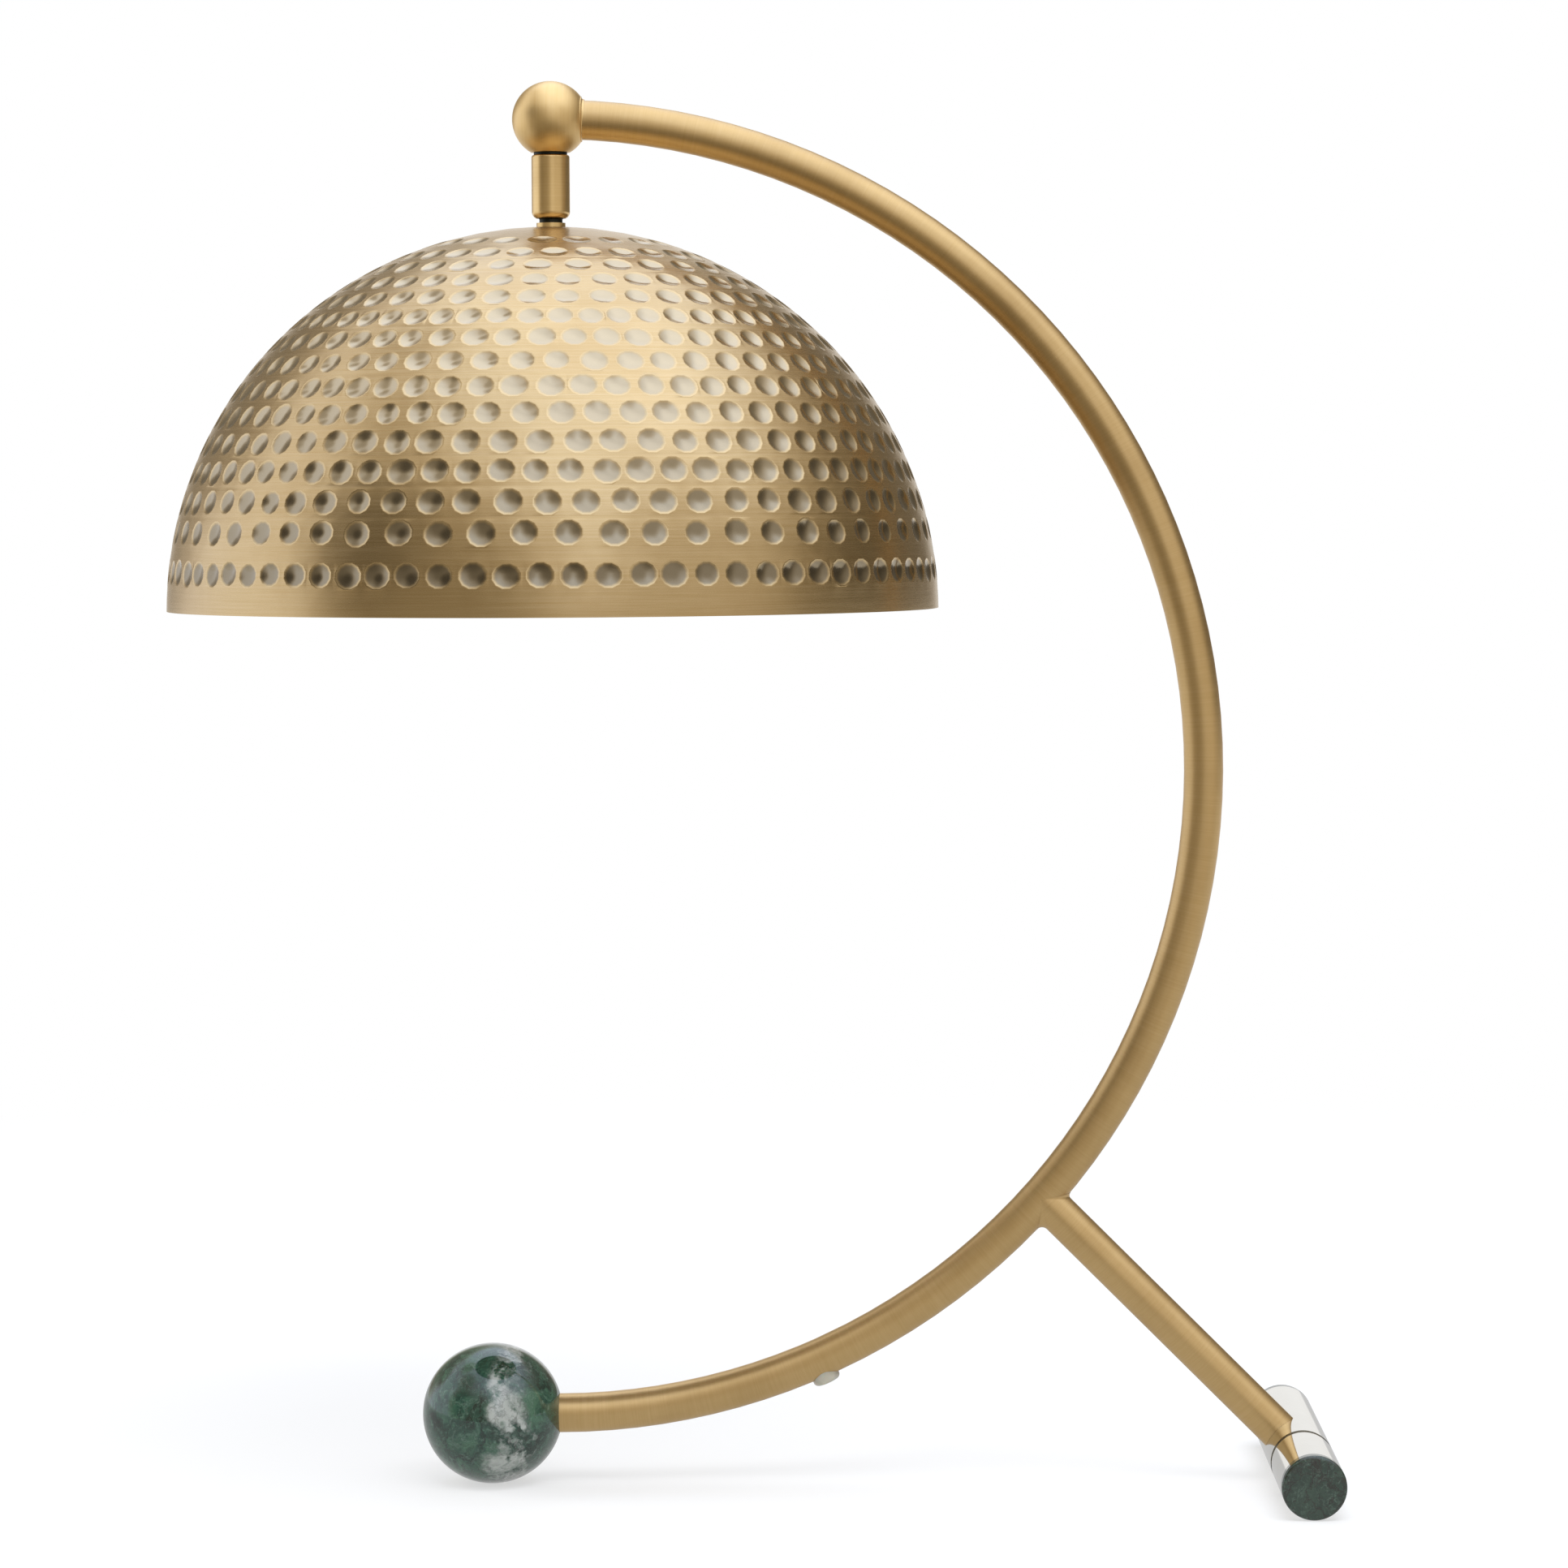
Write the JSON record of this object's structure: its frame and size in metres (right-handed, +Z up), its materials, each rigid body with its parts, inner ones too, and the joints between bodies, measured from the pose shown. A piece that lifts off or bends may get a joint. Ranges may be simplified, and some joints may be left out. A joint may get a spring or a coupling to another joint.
{
  "type": "task lamp",
  "caption": "Arched task lamp: hammered brass dome shade on a half-circle brass arm that stands on a green stone ball and a nickel crossbar.",
  "frame": {"origin": "on the floor under the middle of the lamp's bounding box, at rest", "axes": "+Z up; +X from the shade's axis towards the crossbar; +Y along the crossbar, away from the front. The lamp is its own mirror image in y = 0."},
  "size_m": [0.4734, 0.314, 0.574],
  "materials": {
    "satin_brass": "brushed satin antique brass",
    "hammered_brass": "hammered and brushed antique brass",
    "aged_brass": "dull aged brass",
    "polished_nickel": "mirror polished nickel",
    "green_stone": "polished green marble",
    "steel": "turned and zinc plated",
    "black_steel": "blackened",
    "clear_nylon": "translucent moulded nylon",
    "phenolic": "moulded phenolic",
    "opal_glass": "opal white glass",
    "white_plastic": "moulded",
    "bulb_cap_metal": "bright rolled thread"
  },
  "bodies": {
    "stand": {"arm_tube": "satin_brass", "leg_tube": "satin_brass", "leg_plug": "steel", "leg_screw": "black_steel", "stone_ball": "green_stone", "ball_insert": "aged_brass", "ball_stud": "steel", "arm_plug": "steel", "cord_bushing": "clear_nylon", "crossbar_centre": "polished_nickel", "front_sleeve": "polished_nickel", "rear_sleeve": "polished_nickel", "front_spacer": "aged_brass", "front_stud": "steel", "rear_stud": "steel", "stud_washers": "steel", "stud_nuts": "steel", "front_stone_disc": "green_stone", "rear_stone_disc": "green_stone", "knuckle_ball": "satin_brass", "knuckle_nipple": "steel", "swivel_washer": "black_steel", "thrust_washer": "steel", "ring_nut": "steel"},
    "stem": {"stem_housing": "satin_brass", "stem_cap": "aged_brass", "load_ring": "steel", "disc_springs": "steel", "pivot_seat": "clear_nylon"},
    "shade": {"pivot_stud": "black_steel", "shade_collar": "satin_brass", "dome_shade": "hammered_brass", "shade_washer": "steel", "shade_nut": "steel", "socket_cap": "aged_brass", "socket_shell": "aged_brass", "socket_liner": "phenolic", "switch_block": "phenolic", "bulb_holder": "aged_brass", "centre_contact": "aged_brass", "bulb_globe": "opal_glass", "bulb_base": "white_plastic", "bulb_cap": "bulb_cap_metal", "bulb_tip": "steel"},
    "switch": {"knob_shaft": "aged_brass", "switch_knob": "phenolic"}
  },
  "joints": [
    {"name": "stem_turn", "type": "hinge", "parent": "stand", "child": "stem", "pos_m": [-0.0797, 0, 0.54414], "axis": [0, 0, 1], "range_deg": [-170, 170]},
    {"name": "shade_tilt", "type": "hinge", "parent": "stem", "child": "shade", "pos_m": [-0.0797, 0, 0.52255], "axis": [0, 1, 0], "range_deg": [-15, 15]},
    {"name": "switch_turn", "type": "hinge", "parent": "shade", "child": "switch", "pos_m": [-0.0997, 0, 0.48973], "axis": [-1, 0, 0], "continuous": true}
  ]
}
